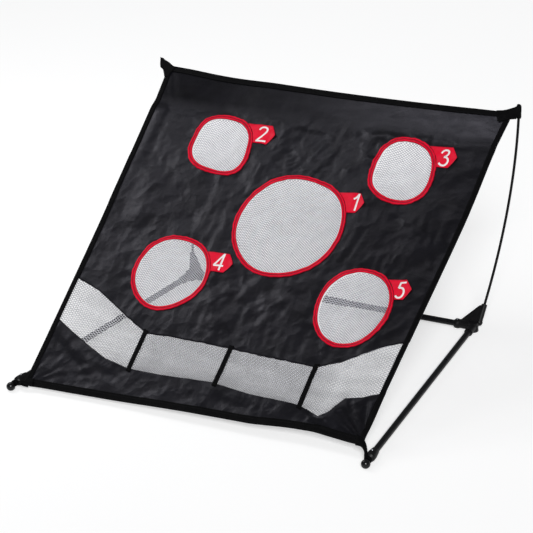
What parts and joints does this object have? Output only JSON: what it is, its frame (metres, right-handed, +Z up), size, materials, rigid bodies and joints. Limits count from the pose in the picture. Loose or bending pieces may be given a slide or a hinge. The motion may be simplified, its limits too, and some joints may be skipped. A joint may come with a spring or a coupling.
{
  "type": "golf chipping net",
  "caption": "Slanted black cloth target with round netted pockets and a catch trough, stretched on a tube base and two sprung rods.",
  "frame": {"origin": "on the ground, under the middle of the object's bounding box", "axes": "+X to the right seen from the player, +Y away from the player to the raised top edge, +Z up"},
  "size_m": [1.0952, 0.898, 0.6138],
  "materials": {
    "black_tube": "satin powder coat",
    "black_plastic": "satin moulded",
    "glossy_plastic": "gloss",
    "rod_black": "satin fibreglass",
    "button_steel": "polished",
    "spring_steel": "plain",
    "black_cloth": "satin woven polyester",
    "black_webbing": "woven binding",
    "red_binding": "folded binding tape",
    "red_tag": "smooth printed cloth",
    "white_net": "open knitted mesh"
  },
  "bodies": {
    "root": {"rear_tube_left": "black_tube", "rear_tube_right": "black_tube", "rear_tube_coupler": "black_plastic", "side_tube_left": "black_tube", "side_tube_right": "black_tube", "rear_connector_left": "black_plastic", "rear_connector_right": "black_plastic", "front_socket_left": "black_plastic", "front_socket_right": "black_plastic", "ball_foot_left": "glossy_plastic", "ball_foot_right": "glossy_plastic", "rod_left": "rod_black", "rod_right": "rod_black", "button_spring_rear_left": "spring_steel", "button_spring_rear_right": "spring_steel", "button_spring_front_left": "spring_steel", "button_spring_front_right": "spring_steel", "target_panel": "black_cloth", "lower_lip": "black_cloth", "top_hem": "black_webbing", "bottom_hem": "black_webbing", "side_strap_left": "black_webbing", "side_strap_right": "black_webbing", "ring_binding_1": "red_binding", "ring_binding_2": "red_binding", "ring_binding_3": "red_binding", "ring_binding_4": "red_binding", "ring_binding_5": "red_binding", "number_tag_1": "red_tag", "number_tag_2": "red_tag", "number_tag_3": "red_tag", "number_tag_4": "red_tag", "number_tag_5": "red_tag", "pocket_net_1": "white_net", "pocket_net_2": "white_net", "pocket_net_3": "white_net", "pocket_net_4": "white_net", "pocket_net_5": "white_net", "trough_net": "white_net", "divider_strap_left": "black_webbing", "divider_strap_middle": "black_webbing", "divider_strap_right": "black_webbing", "corner_pocket_left": "black_webbing", "corner_pocket_right": "black_webbing", "corner_loop_left": "black_webbing", "corner_loop_right": "black_webbing"},
    "button_rear_left": {"lock_button_rear_left": "button_steel"},
    "button_rear_right": {"lock_button_rear_right": "button_steel"},
    "button_front_left": {"lock_button_front_left": "button_steel"},
    "button_front_right": {"lock_button_front_right": "button_steel"}
  },
  "joints": [
    {"name": "press_rear_left", "type": "slide", "parent": "root", "child": "button_rear_left", "axis": [0, 0, -1], "range_m": [0, 0.003], "stiffness_N_per_m": 800, "springref_m": -0.001, "deforming": ["button_spring_rear_left"]},
    {"name": "press_rear_right", "type": "slide", "parent": "root", "child": "button_rear_right", "axis": [0, 0, -1], "range_m": [0, 0.003], "stiffness_N_per_m": 800, "springref_m": -0.001, "deforming": ["button_spring_rear_right"]},
    {"name": "press_front_left", "type": "slide", "parent": "root", "child": "button_front_left", "axis": [0, 0, -1], "range_m": [0, 0.003], "stiffness_N_per_m": 800, "springref_m": -0.001, "deforming": ["button_spring_front_left"]},
    {"name": "press_front_right", "type": "slide", "parent": "root", "child": "button_front_right", "axis": [0, 0, -1], "range_m": [0, 0.003], "stiffness_N_per_m": 800, "springref_m": -0.001, "deforming": ["button_spring_front_right"]}
  ]
}
